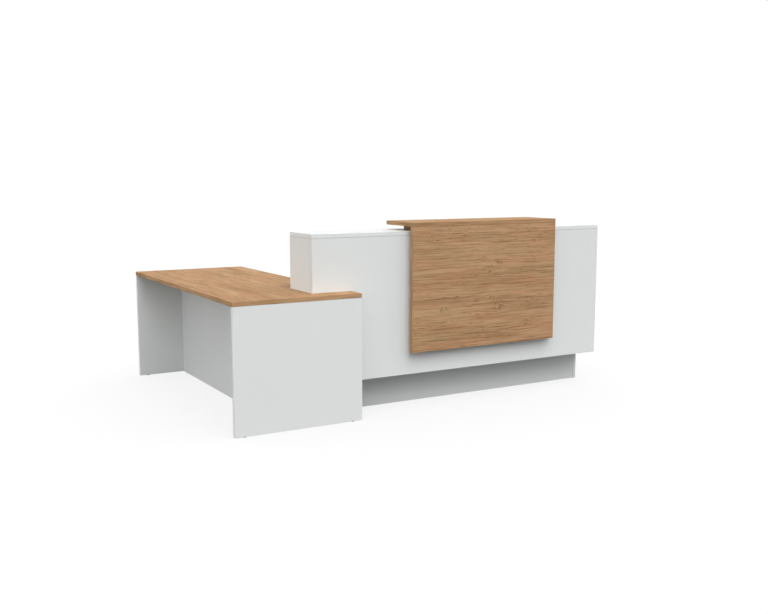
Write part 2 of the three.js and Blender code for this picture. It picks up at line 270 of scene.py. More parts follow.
def times(first, second, plus=None):
    """A product, with a third value added to it where one is given."""
    if plus is None:
        return calc("MULTIPLY", first, second)
    return calc("MULTIPLY_ADD", first, second, plus)


def less(first, second):
    return calc("SUBTRACT", first, second)


def positive(value):
    return calc("MAXIMUM", value, 0.0)


def ranged(value, low, high, to_low=0.0, to_high=1.0):
    """A value brought from one range to another, smoothly and without running over."""
    values = {"Value": value, "From Min": low, "From Max": high, "To Min": to_low, "To Max": to_high}
    return add(tree_of(value), "ShaderNodeMapRange", values, interpolation_type="SMOOTHSTEP").outputs[0]


def mixed(share, first, second, blend="MIX"):
    """Two colours mixed by a share."""
    values = {0: share, 6: first, 7: second}
    tree = tree_of(share, first, second)
    return add(tree, "ShaderNodeMix", values, data_type="RGBA", blend_type=blend).outputs[2]


def noise(place, scale, detail, roughness):
    """The strength of a noise at a place."""
    values = {"Vector": place, "Scale": scale, "Detail": detail, "Roughness": roughness}
    return add(tree_of(place), "ShaderNodeTexNoise", values).outputs[0]


def bumped(height, distance, strength):
    values = {"Height": height, "Distance": distance, "Strength": strength}
    return add(tree_of(height), "ShaderNodeBump", values).outputs[0]


def rim_share(tree):
    """One on a board's arrises, a little less where they are free, and zero past its rim."""
    return add(tree, "ShaderNodeAttribute", attribute_name=RIM).outputs["Fac"]


def connect(surface, **outputs):
    """Links outputs to a surface's inputs, whose names have spaces for underscores."""
    for name, output in outputs.items():
        surface.id_data.links.new(output, surface.inputs[name.replace("_", " ")])


def opaque(colour):
    return (*colour, 1.0)


def grey(level):
    return (level, level, level, 1.0)


# Oak print

# Marks on the accent panel, placed along and across the grain from its lower left corner.
# A knot has a radius, and a dark streak has a length and a rise.
ACCENT_KNOTS = ((0.642, 0.243, 0.020), (0.232, 0.255, 0.014), (0.652, 0.524, 0.011), (0.594, 0.306, 0.008))
ACCENT_STREAKS = (
    (0.599, 0.089, 0.336, 0.019),
    (0.406, 0.615, 0.091, -0.011),
    (0.480, 0.681, 0.138, 0.004),
    (0.683, 0.702, 0.063, 0.001),
    (0.818, 0.524, 0.180, -0.014),
    (0.104, 0.664, 0.146, 0.002),
    (0.410, 0.329, 0.176, 0.016),
    (0.968, 0.238, 0.113, -0.003),
    (0.379, 0.161, 0.172, -0.026),
    (0.090, 0.159, 0.050, -0.007),
)
ACCENT_START = OAK_GRAIN["accent_front_panel"][1]
# How far into the print a board's edge bands lie from its faces
BAND_SHIFT = 1.5
# How a knot bends the grain: how much less it does so along it, how hard it pulls, and its slack middle
KNOT_LENGTHWISE = 0.55
KNOT_PULL = 0.8
KNOT_SLACK = 0.4
# Where a knot's dark ring starts, is darkest and ends, in radii, and the noise that bends and breaks it
KNOT_RING = (0.1, 0.7, 1.9)
KNOT_UNEVEN = (0.3, 0.7, 0.35, 1.8)
KNOT_BREAKS = (0.38, 0.64)
STREAK_HALF_WIDTH = 5 * MM
# Where a streak starts to fade and ends, as shares of its length from its middle
STREAK_FADE = (0.2, 0.5)
# How far the grain wanders off a straight line, and a streak off its own
GRAIN_WANDER = 12 * MM
STREAK_TREMBLE = 14 * MM
# Noise: marks per metre along and across the grain, layer, detail and roughness
OAK_NOISE = {
    "wander": (1.5, 5.0, 0.0, 2.0, 0.5),
    "growth": (0.9, 11.0, 1.0, 3.0, 0.55),
    "lines": (2.6, 74.0, 2.0, 3.0, 0.6),
    "fine": (9.0, 520.0, 3.0, 2.0, 0.5),
    "thread": (2.6, 100.0, 4.0, 2.0, 0.5),
    "pores": (55.0, 1700.0, 5.0, 1.0, 0.5),
    "warmth": (2.4, 16.0, 6.0, 2.0, 0.5),
    "tremble": (16.0, 40.0, 7.0, 2.0, 0.5),
    "hair": (7.0, 150.0, 8.0, 2.0, 0.5),
    "uneven": (26.0, 48.0, 9.0, 2.0, 0.5),
    "broken": (45.0, 150.0, 10.0, 2.0, 0.5),
    "tick": (20.0, 150.0, 11.0, 2.0, 0.5),
    "patch": (3.0, 9.0, 12.0, 1.0, 0.5),
}
# Marks cut out of that noise between two strengths
OAK_CUTS = {
    "bold": ("lines", 0.28, 0.72),
    "warm": ("warmth", 0.32, 0.68),
    "strokes": ("fine", 0.36, 0.60),
    "threads": ("thread", 0.59, 0.68),
    "ticks": ("tick", 0.57, 0.68),
    "patches": ("patch", 0.42, 0.58),
    "pits": ("pores", 0.60, 0.72),
}
# The wood's middle tone between dark and light, and how far each noise swings it
OAK_MIDDLE = 0.66
OAK_SWINGS = {"growth": 1.7, "bold": 0.62, "hair": 1.3, "fine": 0.4}
# How far each mark takes the wood to the pores' colour, and how far they do so together
# The seam mark is a dark joint line that also paints the shade in the gap between boards
OAK_MARKS = {"threads": 0.66, "ticks": 0.86, "pits": 0.30, "rings": 0.60, "streaks": 0.38, "seam": 0.14}
OAK_DARKEST = 0.7
# Where on the rim the painted seam shade starts, so that it lies only on arrises that meet another board
OAK_SEAM_SHADE_START = 0.97
OAK_COOL, OAK_WARM = (0.965, 1.015, 0.97, 1.0), (1.045, 0.98, 0.97, 1.0)
OAK_PORE = (0.13, 0.065, 0.032, 1.0)
OAK_ROUGH, LINES_ROUGH = 0.70, 0.16
OAK_SPECULAR = 0.02
# The height of the fine lines to the pores' depth, and that depth with its strength
FINE_HEIGHT = 0.6
OAK_RELIEF = (0.12 * MM, 0.6)


def grain_noise(name, along, across):
    """One of the print's noises, drawn out along the grain."""
    per_along, per_across, layer, detail, roughness = OAK_NOISE[name]
    values = {"X": times(along, per_along), "Y": times(across, per_across), "Z": layer}
    place = add(tree_of(along), "ShaderNodeCombineXYZ", values).outputs[0]
    return noise(place, 1.0, detail, roughness)


def off_half(value, strength, start):
    """How far a noise lies off its middle, times a strength, added to a start."""
    return times(less(value, 0.5), strength, start)


def around_knots(along, across):
    """Bends the grain round the knots. Gives the bent place across and the knots' dark rings."""
    bent = across
    rings = 0.0
    uneven = ranged(grain_noise("uneven", along, across), *KNOT_UNEVEN)
    ring_start, ring_middle, ring_end = KNOT_RING
    for knot_along, knot_across, radius in ACCENT_KNOTS:
        off_along = times(less(along, knot_along), KNOT_LENGTHWISE)
        off_across = less(across, ACCENT_START + knot_across)
        squared = times(off_across, off_across, times(off_along, off_along))
        slack = calc("ADD", squared, KNOT_SLACK * radius ** 2)
        nearness = calc("DIVIDE", KNOT_PULL * radius ** 2, slack)
        bent = less(bent, times(off_across, nearness))
        reach = calc("DIVIDE", calc("SQRT", times(squared, uneven)), radius)
        inner = ranged(reach, ring_start, ring_middle)
        outer = ranged(reach, ring_middle, ring_end, 1.0, 0.0)
        rings = times(inner, outer, rings)
    broken = ranged(grain_noise("broken", along, across), *KNOT_BREAKS)
    return bent, times(rings, broken)


def dark_streaks(along, across):
    """The accent panel's dark streaks, which fade at their ends."""
    marks = 0.0
    for streak_along, streak_across, length, rise in ACCENT_STREAKS:
        share = calc("DIVIDE", less(along, streak_along), length)
        middle = times(share, rise, ACCENT_START + streak_across)
        off_middle = calc("ABSOLUTE", less(across, middle))
        from_half = calc("ABSOLUTE", less(share, 0.5))
        inside = ranged(from_half, *STREAK_FADE, 1.0, 0.0)
        near = ranged(off_middle, 0.0, STREAK_HALF_WIDTH, 1.0, 0.0)
        marks = times(inside, near, marks)
    return marks


def oak_finish(tree, surface, look):
    """Oak print along the grain map: bands and lines, then threads, ticks, pores, knots and seams. A seam is a
    dark joint line and painted shade of the gap where boards meet.
    """
    place = add(tree, "ShaderNodeUVMap", uv_map=GRAIN_MAP).outputs[0]
    along, flat_across, _ = add(tree, "ShaderNodeSeparateXYZ", {0: place}).outputs
    bent, rings = around_knots(along, flat_across)
    across = off_half(grain_noise("wander", along, flat_across), GRAIN_WANDER, bent)
    tremble = grain_noise("tremble", along, flat_across)
    streaks = dark_streaks(along, off_half(tremble, STREAK_TREMBLE, flat_across))

    kinds = ("growth", "lines", "hair", "fine", "thread", "tick", "patch", "pores", "warmth")
    layers = {name: grain_noise(name, along, across) for name in kinds}
    for name, (kind, low, high) in OAK_CUTS.items():
        layers[name] = ranged(layers[kind], low, high)
    tone = OAK_MIDDLE
    for name, swing in OAK_SWINGS.items():
        tone = off_half(layers[name], swing, tone)
    wood = mixed(tone, opaque(look.oak_dark), opaque(look.oak_light))
    cast = mixed(layers["warm"], OAK_COOL, OAK_WARM)
    wood = mixed(1.0, wood, cast, "MULTIPLY")

    marks = {"rings": rings, "streaks": streaks, "pits": layers["pits"]}
    marks["threads"] = times(layers["threads"], layers["strokes"])
    marks["ticks"] = times(times(layers["ticks"], layers["patches"]), layers["strokes"])
    # Painted shade in the gaps where boards meet, over a dark joint line
    marks["seam"] = ranged(rim_share(tree), OAK_SEAM_SHADE_START, 1.0)
    dark = 0.0
    for name, share in OAK_MARKS.items():
        dark = times(marks[name], share, dark)
    wood = mixed(calc("MINIMUM", dark, OAK_DARKEST), wood, OAK_PORE)

    rough = times(layers["lines"], LINES_ROUGH, OAK_ROUGH)
    height = times(layers["pits"], -1.0, times(layers["fine"], FINE_HEIGHT))
    connect(surface, Base_Color=wood, Roughness=rough, Normal=bumped(height, *OAK_RELIEF))
    surface.inputs["Specular IOR Level"].default_value = OAK_SPECULAR


# Plain finishes

# Noise: marks per metre, detail and roughness
PLAIN_NOISE = {
    "cloud": (2.3, 3.0, 0.5),
    "speck": (900.0, 2.0, 0.5),
    "grit": (260.0, 3.0, 0.6),
    "mould": (1500.0, 2.0, 0.6),
    "scuff": (120.0, 4.0, 0.65),
}
SCRATCH_DETAIL = (3.0, 0.6)
BLOOM_SCALE = 420.0
# The colour of each mark, its share, the noise or rim that shows it, and what it adds to the roughness
UNTINTED = grey(1.0)
WHITE_CLOUD, CLOUD_RANGE, CLOUD_ROUGH = (0.988, 0.99, 0.992, 1.0), (0.3, 0.7), 0.14
WHITE_SOIL, SOIL_SHARE, SOIL_RANGE, SOIL_ROUGH = (0.52, 0.50, 0.46, 1.0), 0.10, (0.45, 0.7), 0.12
# The seam is a dark joint line and painted shade of the gap where boards meet
WHITE_SEAM_SHADE, SEAM_SHADE_SHARE, SEAM_SHADE_START = (0.40, 0.40, 0.39, 1.0), 0.65, 0.975
METAL_BLOOM, BLOOM_ROUGH = (0.90, 0.91, 0.92, 1.0), 0.06
METAL_SCRATCH, SCRATCH_SHARE = (0.33, 0.34, 0.35, 1.0), 0.35
SCRATCH_RANGE, SCRATCH_ROUGH = (0.55, 0.75), 0.25
BLACK_SCUFF, SCUFF_SHARE, SCUFF_RANGE = grey(0.07), 0.35, (0.55, 0.8)
BLACK_ROUGH, SCUFF_ROUGH = 0.42, 0.2
# How fast the soil falls off from an edge, and the grit's height to the specks'
SOIL_FALL = 5.0
GRIT_HEIGHT = 0.7
# Strength of the white's relief, and depth and strength of the others'
WHITE_RELIEF = 0.5
METAL_RELIEF = (0.05 * MM, 0.5)
BLACK_RELIEF = (0.08 * MM, 0.6)


def object_place(tree):
    return add(tree, "ShaderNodeTexCoord").outputs["Object"]


def white_finish(tree, surface, look, pearl, gloss, shine):
    """White board: a faint pearl, a dark hairline with painted gap shade where the edge bands meet other
    boards, and slight soil on the rim.
    """
    place = object_place(tree)
    cloud, speck, grit = (noise(place, *PLAIN_NOISE[name]) for name in ("cloud", "speck", "grit"))
    rim = rim_share(tree)
    # Painted shade in the gaps where boards meet, over a dark joint line
    seam = ranged(rim, SEAM_SHADE_START, 1.0)
    soil = times(calc("POWER", rim, SOIL_FALL), ranged(grit, *SOIL_RANGE))
    tint = mixed(ranged(cloud, *CLOUD_RANGE), WHITE_CLOUD, UNTINTED)
    white = mixed(1.0, tint, opaque(look.white), "MULTIPLY")
    white = mixed(times(soil, SOIL_SHARE), white, WHITE_SOIL)
    white = mixed(times(seam, SEAM_SHADE_SHARE), white, WHITE_SEAM_SHADE)
    rough = times(soil, SOIL_ROUGH, times(cloud, CLOUD_ROUGH, gloss))
    height = times(grit, GRIT_HEIGHT, speck)
    connect(surface, Base_Color=white, Roughness=rough, Normal=bumped(height, pearl, WHITE_RELIEF))
    surface.inputs["Specular IOR Level"].default_value = shine


def metal_finish(tree, surface, look, colour, rough, marks, stretch):
    """Bare metal with a crystal bloom, and fine dull marks drawn out along one axis."""
    place = object_place(tree)
    drawn = add(tree, "ShaderNodeMapping", {"Vector": place, "Scale": stretch}).outputs[0]
    scratch = noise(drawn, marks, *SCRATCH_DETAIL)
    bloom = add(tree, "ShaderNodeTexVoronoi", {"Vector": place, "Scale": BLOOM_SCALE}).outputs["Color"]
    bloom = add(tree, "ShaderNodeSeparateColor", {0: bloom}).outputs[0]
    shade = mixed(bloom, METAL_BLOOM, UNTINTED)
    shade = mixed(1.0, shade, opaque(getattr(look, colour)), "MULTIPLY")
    shade = mixed(ranged(scratch, *SCRATCH_RANGE, 0.0, SCRATCH_SHARE), shade, METAL_SCRATCH)
    dull = times(bloom, BLOOM_ROUGH, times(scratch, SCRATCH_ROUGH, rough))
    connect(surface, Base_Color=shade, Roughness=dull, Normal=bumped(scratch, *METAL_RELIEF))
    surface.inputs["Metallic"].default_value = 1.0


def black_finish(tree, surface, look):
    """Black plastic with the fine grain of its mould and a few scuffs."""
    place = object_place(tree)
    mould, scuff = (noise(place, *PLAIN_NOISE[name]) for name in ("mould", "scuff"))
    worn = times(ranged(scuff, *SCUFF_RANGE), SCUFF_SHARE)
    shade = mixed(worn, opaque(look.black), BLACK_SCUFF)
    rough = times(scuff, SCUFF_ROUGH, BLACK_ROUGH)
    connect(surface, Base_Color=shade, Roughness=rough, Normal=bumped(mould, *BLACK_RELIEF))


FINISHES = {
    "oak_print": (oak_finish, {}),
    "white_face": (white_finish, {"pearl": 0.07 * MM, "gloss": 0.36, "shine": 0.12}),
    "white_band": (white_finish, {"pearl": 0.03 * MM, "gloss": 0.28, "shine": 0.6}),
    "cap_plastic": (white_finish, {"pearl": 0.02 * MM, "gloss": 0.30, "shine": 0.12}),
    "zinc_plate": (
        metal_finish, {"colour": "zinc", "rough": 0.26, "marks": 300.0, "stretch": (1.0, 1.0, 0.25)}
    ),
    "turned_aluminium": (
        metal_finish, {"colour": "aluminium", "rough": 0.20, "marks": 240.0, "stretch": (0.08, 1.0, 0.08)}
    ),
    "moulded_black": (black_finish, {}),
}


def finish(name):
    """A finish by its name, made when it is first asked for."""
    material = bpy.data.materials.get(name)
    if material is None:
        material = bpy.data.materials.new(name)
        tree = blank_tree(material)
        surface = add(tree, "ShaderNodeBsdfPrincipled")
        add(tree, "ShaderNodeOutputMaterial", {"Surface": surface.outputs[0]})
        dress, values = FINISHES[name]
        dress(tree, surface, bpy.context.scene.desk_finishes, **values)
    return material


# Meshes

WELD = 1e-5
FLAT_ANGLE = math.radians(1)
SHARP_ANGLE = math.radians(35)


def show(work, name, *finishes):
    """A bmesh as a new object at the origin."""
    mesh = bpy.data.meshes.new(name)
    work.to_mesh(mesh)
    work.free()
    for each in finishes:
        mesh.materials.append(finish(each))
    piece = bpy.data.objects.new(name, mesh)
    bpy.context.scene.collection.objects.link(piece)
    return piece


def seat(piece, node):
    """Puts a piece in the place of its node, on the node's body."""
    bodies = frame["record"]["behaviour"]["bodies"]
    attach(piece, next(body for body, nodes in bodies.items() if node in nodes))
    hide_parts(node)


def smooth_but_sharp(piece):
    """Smooth shading that breaks at the corners."""
    piece.data.shade_smooth()
    piece.data.set_sharp_from_angle(angle=SHARP_ANGLE)


def fit(work, node, form, coat):
    """A fitting of one finish, in the place of its node."""
    piece = show(work, f"{node}_{form}", coat)
    smooth_but_sharp(piece)
    seat(piece, node)


def settle(piece):
    """Works a piece's modifiers into its mesh and takes them off."""
    bpy.context.view_layer.update()
    graph = bpy.context.evaluated_depsgraph_get()
    mesh = bpy.data.meshes.new_from_object(piece.evaluated_get(graph))
    piece.modifiers.clear()
    piece.data = mesh


def discard(piece):
    mesh = piece.data
    bpy.data.objects.remove(piece)
    bpy.data.meshes.remove(mesh)


def cut_away(piece, work, crossing=False):
    """Cuts a bmesh out of a piece. Its own parts may cross each other where crossing says so."""
    cutter = show(work, "cutter")
    cut = piece.modifiers.new("cut", "BOOLEAN")
    cut.object = cutter
    cut.operation = "DIFFERENCE"
    cut.solver = "EXACT"
    cut.use_self = crossing
    settle(piece)
    discard(cutter)


def soften(work, edges, radius, steps, clamp=False):
    """Rounds edges over."""
    bmesh.ops.bevel(
        work, geom=edges, offset=radius, segments=steps, profile=0.5, affect="EDGES", clamp_overlap=clamp
    )


def join_rings(work, rings):
    """Faces between neighbouring rings of points. A ring of one point is a pole."""
    for lower, upper in zip(rings, rings[1:]):
        sides = max(len(lower), len(upper))
        for k in range(sides):
            following = (k + 1) % sides
            corners = [lower[k % len(lower)], lower[following % len(lower)]]
            corners += [upper[following % len(upper)], upper[k % len(upper)]]
            work.faces.new(list(dict.fromkeys(corners)))


def turned(profile, sides, place):
    """A solid turned from radii and heights. The profile starts and ends on the axis, or else it closes."""
    work = bmesh.new()
    turns = [2 * math.pi * k / sides for k in range(sides)]
    rings = []
    for radius, height in profile:
        around = turns if radius else turns[:1]
        points = [(radius * math.cos(turn), radius * math.sin(turn), height) for turn in around]
        rings.append([work.verts.new(point) for point in points])
    if len(rings[0]) > 1:
        rings.append(rings[0])
    join_rings(work, rings)
    bmesh.ops.transform(work, matrix=place, verts=work.verts)
    bmesh.ops.recalc_face_normals(work, faces=work.faces)
    return work


def prism(outline, thickness):
    """A solid with an outline in X and Y, from height zero up."""
    work = bmesh.new()
    lower = [work.verts.new((x, y, 0)) for x, y in outline]
    upper = [work.verts.new((x, y, thickness)) for x, y in outline]
    join_rings(work, [lower, upper])
    work.faces.new(lower)
    work.faces.new(upper)
    bmesh.ops.recalc_face_normals(work, faces=work.faces)
    return work


def arc(centre, radius, first, last, steps):
    """Points on an arc between two angles in degrees."""
    turns = [math.radians(first + (last - first) * k / steps) for k in range(steps + 1)]
    return [(centre[0] + radius * math.cos(t), centre[1] + radius * math.sin(t)) for t in turns]


def rounded(profile, radius, steps=3):
    """A profile whose corners are rounded, except its two ends."""
    soft = [profile[0]]
    for before, corner, after in zip(profile, profile[1:], profile[2:]):
        corner, before, after = Vector(corner), Vector(before), Vector(after)
        reach = min(radius, (before - corner).length / 2, (after - corner).length / 2)
        start = corner + (before - corner).normalized() * reach
        end = corner + (after - corner).normalized() * reach
        for k in range(steps + 1):
            t = k / steps
            soft.append(tuple(start * (1 - t) ** 2 + corner * 2 * t * (1 - t) + end * t * t))
    return soft + [profile[-1]]


def other_axis(*taken):
    """The first axis that isn't taken."""
    return next(axis for axis in range(3) if axis not in taken)


# Boards

# A face is square if its normal lies this near to an axis
SQUARE = 0.9999
# The rim's strength on an arris that meets no other board, below where the painted seam shade starts, so that
# this shade shows only at joints
FREE_EDGE = 0.9
# The gap that two boards still meet across, and the most of a face's width that its rim takes
MEETING_GAP = 1 * MM
RIM_SHARE = 0.25
# How far the bores go past the stems and liners, and how many flats they have
FOOT_BORE_REACH, FOOT_BORE_SIDES = 1 * MM, 24
PORT_BORE_REACH, PORT_BORE_SIDES = 50 * MM, 64


def thin_axis(node):
    """The axis through a board's thickness."""
    lo, hi = BOARD_BOXES[node]
    return min(range(3), key=lambda axis: hi[axis] - lo[axis])


def board_outline(node):
    """The corners of a board's largest face, in order."""
    source = frame["nodes"][node].data
    work = bmesh.new()
    corners = [work.verts.new(vertex.co) for vertex in source.vertices]
    for polygon in source.polygons:
        work.faces.new([corners[k] for k in polygon.vertices])
    bmesh.ops.remove_doubles(work, verts=work.verts, dist=WELD)
    bmesh.ops.dissolve_limit(work, angle_limit=FLAT_ANGLE, verts=work.verts, edges=work.edges)
    broad = max(work.faces, key=lambda face: face.calc_area())
    outline = [corner.co.copy() for corner in broad.verts]
    work.free()
    return outline


def box_outline(node, flat):
    """The four corners of a rectangular board's broad face, in order, without the holes in it."""
    lo, hi = BOARD_BOXES[node]
    first = other_axis(flat)
    second = other_axis(flat, first)
    outline = []
    for at_first, at_second in ((lo, lo), (hi, lo), (hi, hi), (lo, hi)):
        corner = lo.copy()
        corner[first] = at_first[first]
        corner[second] = at_second[second]
        outline.append(corner)
    return outline


def board_blank(node, outline, settings):
    """A board as a solid of its outline, with softened arrises and a rim inside each flat face's edges."""
    flat = thin_axis(node)
    lo, hi = BOARD_BOXES[node]
    work = bmesh.new()
    layers = []
    for height in (lo[flat], hi[flat]):
        layer = []
        for corner in outline:
            place = corner.copy()
            place[flat] = height
            layer.append(work.verts.new(place))
        layers.append(layer)
    join_rings(work, layers)
    for layer in layers:
        work.faces.new(layer)
    bmesh.ops.recalc_face_normals(work, faces=work.faces)
    soften(work, list(work.edges), settings.arris, settings.arris_steps, clamp=True)
    work.normal_update()
    square = [face for face in work.faces if max(abs(part) for part in face.normal) > SQUARE]
    broad = [face for face in square if abs(face.normal[flat]) > SQUARE]
    bands = [face for face in square if abs(face.normal[flat]) < SQUARE]
    thickness, breadth = sorted(hi - lo)[:2]
    for faces, room in ((broad, breadth), (bands, thickness)):
        width = min(settings.rim, room * RIM_SHARE)
        bmesh.ops.inset_individual(work, faces=faces, thickness=width, use_even_offset=True)
    return work


def bore(piece, holes):
    """Cuts round upright holes, each given as a centre, a radius, a bottom, a top and its sides."""
    work = bmesh.new()
    for (x, y), radius, bottom, top, sides in holes:
        place = Matrix.Translation((x, y, (bottom + top) / 2))
        size = {"radius1": radius, "radius2": radius, "depth": top - bottom}
        bmesh.ops.create_cone(work, cap_ends=True, segments=sides, matrix=place, **size)
    cut_away(piece, work)


def foot_bore(foot, clearance):
    """The bore for one foot's stem."""
    lo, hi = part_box(foot)
    middle = (lo + hi) / 2
    radius = bpy.context.scene.desk_fittings.stem_radius + clearance
    return (middle.x, middle.y), radius, lo.z, hi.z + FOOT_BORE_REACH, FOOT_BORE_SIDES


def port_bore(side, clearance):
    """The hole for one cable port's liner."""
    lo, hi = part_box(f"port_liner_{side}")
    middle = (lo + hi) / 2
    radius = (hi.x - lo.x) / 2 - PORT_FLANGE_WIDTH + clearance
    return (middle.x, middle.y), radius, lo.z - PORT_BORE_REACH, hi.z + PORT_BORE_REACH, PORT_BORE_SIDES


def meets_board(place, node, reach):
    """Whether a place on a board's arris lies against another board."""
    for other, (lo, hi) in BOARD_BOXES.items():
        if other != node and all(lo[k] - reach < place[k] < hi[k] + reach for k in range(3)):
            return True
    return False


def mark_board(piece, node, grain, start):
    """Gives a board its grain map, its rim and its edge bands."""
    flat = thin_axis(node)
    lo, _ = BOARD_BOXES[node]
    reach = bpy.context.scene.desk_boards.arris + MEETING_GAP
    work = bmesh.new()
    work.from_mesh(piece.data)
    work.normal_update()
    grain_map = work.loops.layers.uv.new(GRAIN_MAP)
    rim = work.verts.layers.float.new(RIM)
    for face in work.faces:
        facing = max(range(3), key=lambda axis: abs(face.normal[axis]))
        square = abs(face.normal[facing]) > SQUARE
        face.smooth = not square
        face.material_index = 0 if square and facing == flat else 1
        along = other_axis(facing, flat) if facing == grain else grain
        across = other_axis(facing, along)
        shift = start + (0.0 if facing == flat else BAND_SHIFT)
        for loop in face.loops:
            place = loop.vert.co - lo
            loop[grain_map].uv = (place[along], place[across] + shift)
        if not square:
            for corner in face.verts:
                # A full rim where the arris meets another board, where the painted seam shade shows
                corner[rim] = 1.0 if meets_board(corner.co, node, reach) else FREE_EDGE
    work.to_mesh(piece.data)
    work.free()


def make_board(node):
    """Puts one finished board in the place of its node."""
    settings = bpy.context.scene.desk_boards
    flat = thin_axis(node)
    if node == PORTED_BOARD:
        outline = box_outline(node, flat)
        holes = [port_bore(side, settings.bore_clearance) for side in SIDES]
    else:
        outline = board_outline(node)
        holes = [foot_bore(foot, settings.bore_clearance) for foot in FEET_OF.get(node, ())]
    oak = node in OAK_GRAIN
    finishes = ("oak_print", "oak_print") if oak else ("white_face", "white_band")
    piece = show(board_blank(node, outline, settings), f"{node}_board", *finishes)
    if holes:
        bore(piece, holes)
    if oak:
        way, start = OAK_GRAIN[node]
        mark_board(piece, node, AXES.index(way), start)
    else:
        mark_board(piece, node, other_axis(flat), 0.0)
    seat(piece, node)


class DESK_OT_return_boards(bpy.types.Operator):
    """Finishes the return's oak top and its white panels"""

    bl_idname = "desk.return_boards"
    bl_label = "Return boards"

    def execute(self, context):
        for node in ("return_top", *RETURN_PANELS):
            make_board(node)
        return {"FINISHED"}


class DESK_OT_counter_boards(bpy.types.Operator):
    """Finishes the tall counter's white boards"""

    bl_idname = "desk.counter_boards"
    bl_label = "Counter boards"

    def execute(self, context):
        for node in COUNTER_BOARDS:
            make_board(node)
        return {"FINISHED"}


class DESK_OT_staff_boards(bpy.types.Operator):
    """Finishes the staff worktop, its gables and the plinth"""

    bl_idname = "desk.staff_boards"
    bl_label = "Staff boards"

    def execute(self, context):
        for node in (PORTED_BOARD, *BASE_BOARDS):
            make_board(node)
        return {"FINISHED"}


class DESK_OT_accent_boards(bpy.types.Operator):
    """Finishes the oak panel, its shelf and the risers under the shelf"""

    bl_idname = "desk.accent_boards"
    bl_label = "Accent boards"

    def execute(self, context):
        for node in OAK_GRAIN:
            if node.startswith("accent"):
                make_board(node)
        return {"FINISHED"}


# Stand-offs

STANDOFF_CHAMFER = 0.9 * MM
STANDOFF_GROOVE = 0.7 * MM
# Where the groove starts, as a share of the length
STANDOFF_COLLAR = 0.62
STANDOFF_SIDES = 64


def standoff_profile(radius, length):
    """Half the section of a stand-off: a barrel with chamfered ends and a groove for its collar."""
    collar = length * STANDOFF_COLLAR
    profile = [(0, 0), (radius - STANDOFF_CHAMFER, 0), (radius, STANDOFF_CHAMFER)]
    for depth, along in ((0, 0), (1, 1), (1, 2), (0, 3)):
        profile.append((radius - depth * STANDOFF_GROOVE, collar + along * STANDOFF_GROOVE))
    return profile + [(radius, length - STANDOFF_CHAMFER), (radius - STANDOFF_CHAMFER, length), (0, length)]


class DESK_OT_standoffs(bpy.types.Operator):
    """Turns the stand-offs between the counter's front and the accent panel"""

    bl_idname = "desk.standoffs"
    bl_label = "Stand-offs"

    def execute(self, context):
        lying = Matrix.Rotation(math.radians(-90), 4, "X")
        for node in STANDOFFS:
            lo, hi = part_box(node)
            middle = (lo + hi) / 2
            profile = standoff_profile((hi.x - lo.x) / 2, hi.y - lo.y)
            place = Matrix.Translation((middle.x, lo.y, middle.z)) @ lying
            work = turned(profile, STANDOFF_SIDES, place)
            fit(work, node, "barrel", "turned_aluminium")
        return {"FINISHED"}


# Screws and cover caps

REPEAT_INPUTS = {"Places": "Geometry", "Shape": "Object", "Size": "Float"}
REPEAT_INPUTS.update({"Largest turn": "Float", "Seed": "Int", "Finish": "Material"})
TURN_SEED = 7
SCREW_SIDES = 20
SCREW_SINK = 0.4 * MM
# A screw head's height, the length and the width of its recess, in radii
SCREW_HEIGHT = 0.55
RECESS_LENGTH = 1.1
RECESS_WIDTH = 0.22
# The height of a screw head's straight side, as a share, and the angles that its dome is drawn at
SCREW_SIDE = 0.2
SCREW_DOME = (0.45, 0.85, 1.2)
CAP_SIDES = 32
CAP_SINK = 0.2 * MM
# A cover cap's edge by its distance inside the radius, then its dish by shares of the radius.
# Both go with shares of the height.
CAP_EDGE = ((0.0, 0.5), (0.25 * MM, 0.86), (0.7 * MM, 1.0))
CAP_DISH = ((0.62, 1.0), (0.5, 0.86), (0.0, 0.80))


def screw_shape(radius):
    """A domed screw head with a cross-shaped recess, standing on the origin."""
    height = radius * SCREW_HEIGHT
    profile = [(0, -SCREW_SINK), (radius, -SCREW_SINK), (radius, SCREW_SIDE * height)]
    for turn in SCREW_DOME:
        rise = SCREW_SIDE + (1 - SCREW_SIDE) * math.sin(turn)
        profile.append((radius * math.cos(turn), height * rise))
    profile.append((0, height))
    piece = show(turned(profile, SCREW_SIDES, Matrix.Identity(4)), "screw_shape", "zinc_plate")
    long, wide = radius * RECESS_LENGTH, radius * RECESS_WIDTH
    work = bmesh.new()
    for along, across in ((long, wide), (wide, long)):
        place = Matrix.Translation((0, 0, height)) @ Matrix.Diagonal((along, across, height, 1))
        bmesh.ops.create_cube(work, size=1, matrix=place)
    cut_away(piece, work, crossing=True)
    return piece


def cap_shape(radius, height):
    """A cover cap: a shallow disc with a softened edge and a faint dish."""
    profile = [(0, -CAP_SINK), (radius, -CAP_SINK)]
    profile += [(radius - inset, height * rise) for inset, rise in CAP_EDGE]
    profile += [(radius * reach, height * rise) for reach, rise in CAP_DISH]
    return show(turned(profile, CAP_SIDES, Matrix.Identity(4)), "cap_shape", "cap_plastic")


